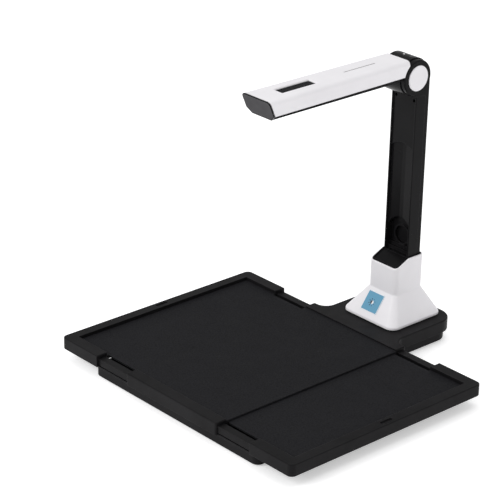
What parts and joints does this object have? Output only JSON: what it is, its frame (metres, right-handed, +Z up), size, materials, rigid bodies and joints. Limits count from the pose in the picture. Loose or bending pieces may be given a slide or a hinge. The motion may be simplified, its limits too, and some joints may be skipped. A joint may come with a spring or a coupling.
{
  "type": "book scanner",
  "caption": "Overhead book scanner: camera arm on a white foot and black post, which folds down, over a black sheet tray with two pull-out wings.",
  "frame": {"origin": "on the table, under the middle of the outline with both wings pulled out", "axes": "+X along the tray's long side, +Y from the reader towards the post, +Z up"},
  "size_m": [0.4516, 0.4554, 0.4052],
  "materials": {
    "black_shell": "fine-grained satin black",
    "black_rail": "smooth satin black",
    "black_bed": "non-slip fine texture",
    "white_shell": "satin gloss white",
    "gloss_black": "polished black",
    "grey_cap": "satin dark grey",
    "dark_window": "smoked clear plastic",
    "diffuser": "frosted",
    "blue_label": "printed film",
    "rubber": "matte",
    "steel": "plated",
    "ballast": "galvanised sheet",
    "circuit_board": "solder mask",
    "wire_jacket": "soft jacket",
    "washer": "acetal",
    "lens_glass": "coated"
  },
  "bodies": {
    "base": {"base_bottom_cover": "black_shell", "base_frame": "black_shell", "front_rail": "black_rail", "rear_rail": "black_rail", "bed_panel": "black_bed", "base_feet": "rubber", "base_screws": "steel", "ballast_plate": "ballast", "main_board": "circuit_board", "usb_socket": "steel", "foot_gasket": "rubber", "foot_shell": "white_shell", "collar_insert": "gloss_black", "light_label": "blue_label", "touch_board": "circuit_board", "foot_screws": "steel", "column_front": "gloss_black", "column_rear": "gloss_black", "column_screws": "steel", "wire_harness": "wire_jacket", "hinge_axle": "steel", "hinge_cap_left": "white_shell", "hinge_cap_right": "white_shell", "friction_washers": "washer"},
    "head": {"head_top_shell": "white_shell", "head_end_cap": "gloss_black", "head_end_plate": "grey_cap", "head_bottom_cover": "gloss_black", "hinge_barrel": "gloss_black", "head_window": "dark_window", "head_light_slit": "dark_window", "lens_bezel": "gloss_black", "lens_barrel": "black_rail", "lens_glass": "lens_glass", "camera_board": "circuit_board", "led_board": "circuit_board", "led_diffusers": "diffuser", "head_screws": "steel"},
    "left_wing": {"left_wing_frame": "black_shell", "left_wing_floor": "black_bed"},
    "right_wing": {"right_wing_frame": "black_shell", "right_wing_floor": "black_bed"}
  },
  "joints": [
    {"name": "head_fold", "type": "hinge", "parent": "base", "child": "head", "pos_m": [0, 0.1726, 0.378], "axis": [1, 0, 0], "range_deg": [0, 90]},
    {"name": "left_wing_slide", "type": "slide", "parent": "base", "child": "left_wing", "axis": [1, 0, 0], "range_m": [0, 0.061]},
    {"name": "right_wing_slide", "type": "slide", "parent": "base", "child": "right_wing", "axis": [-1, 0, 0], "range_m": [0, 0.061]}
  ]
}
